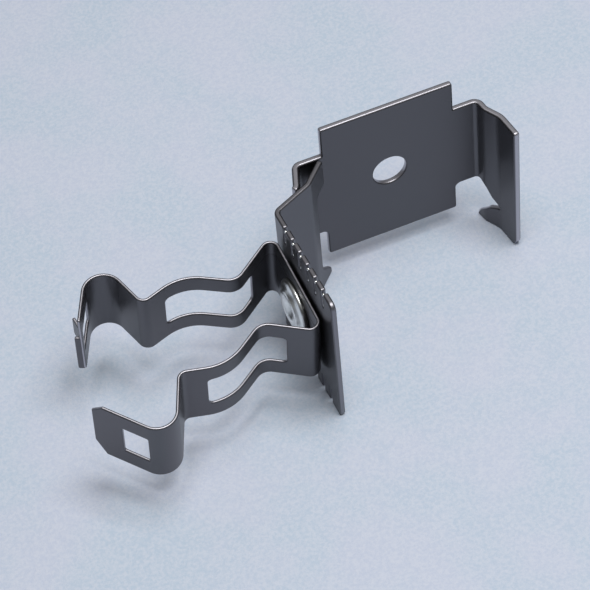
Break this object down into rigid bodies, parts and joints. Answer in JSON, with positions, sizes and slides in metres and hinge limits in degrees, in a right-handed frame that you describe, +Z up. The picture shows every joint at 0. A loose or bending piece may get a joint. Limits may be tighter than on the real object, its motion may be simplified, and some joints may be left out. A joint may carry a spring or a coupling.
{
  "type": "conduit clip",
  "caption": "Spring steel clip for a conduit, riveted so that it swivels on a folded sheet bracket with a screw hole and hooked jaws.",
  "frame": {"origin": "centre of the face plate's screw hole, at the plate's front face", "axes": "+X along the face plate away from the clip, -Y the way the plate's front face looks, +Z up"},
  "size_m": [0.1025, 0.0438, 0.0427],
  "materials": {
    "bracket_steel": "dark oiled spring steel",
    "side_steel": "dark oiled spring steel, slightly blue",
    "clip_steel": "dark oiled spring steel, slightly blue",
    "rivet_steel": "bright zinc"
  },
  "bodies": {
    "frame": {"bracket": "bracket_steel", "side_bracket": "side_steel", "rivet": "rivet_steel"},
    "clip": {"conduit_clip": "clip_steel"}
  },
  "joints": [
    {"name": "clip_swivel", "type": "hinge", "parent": "frame", "child": "clip", "pos_m": [-0.02988, -0.02057, -0.00555], "axis": [0.9998, 0.0175, 0], "continuous": true}
  ]
}
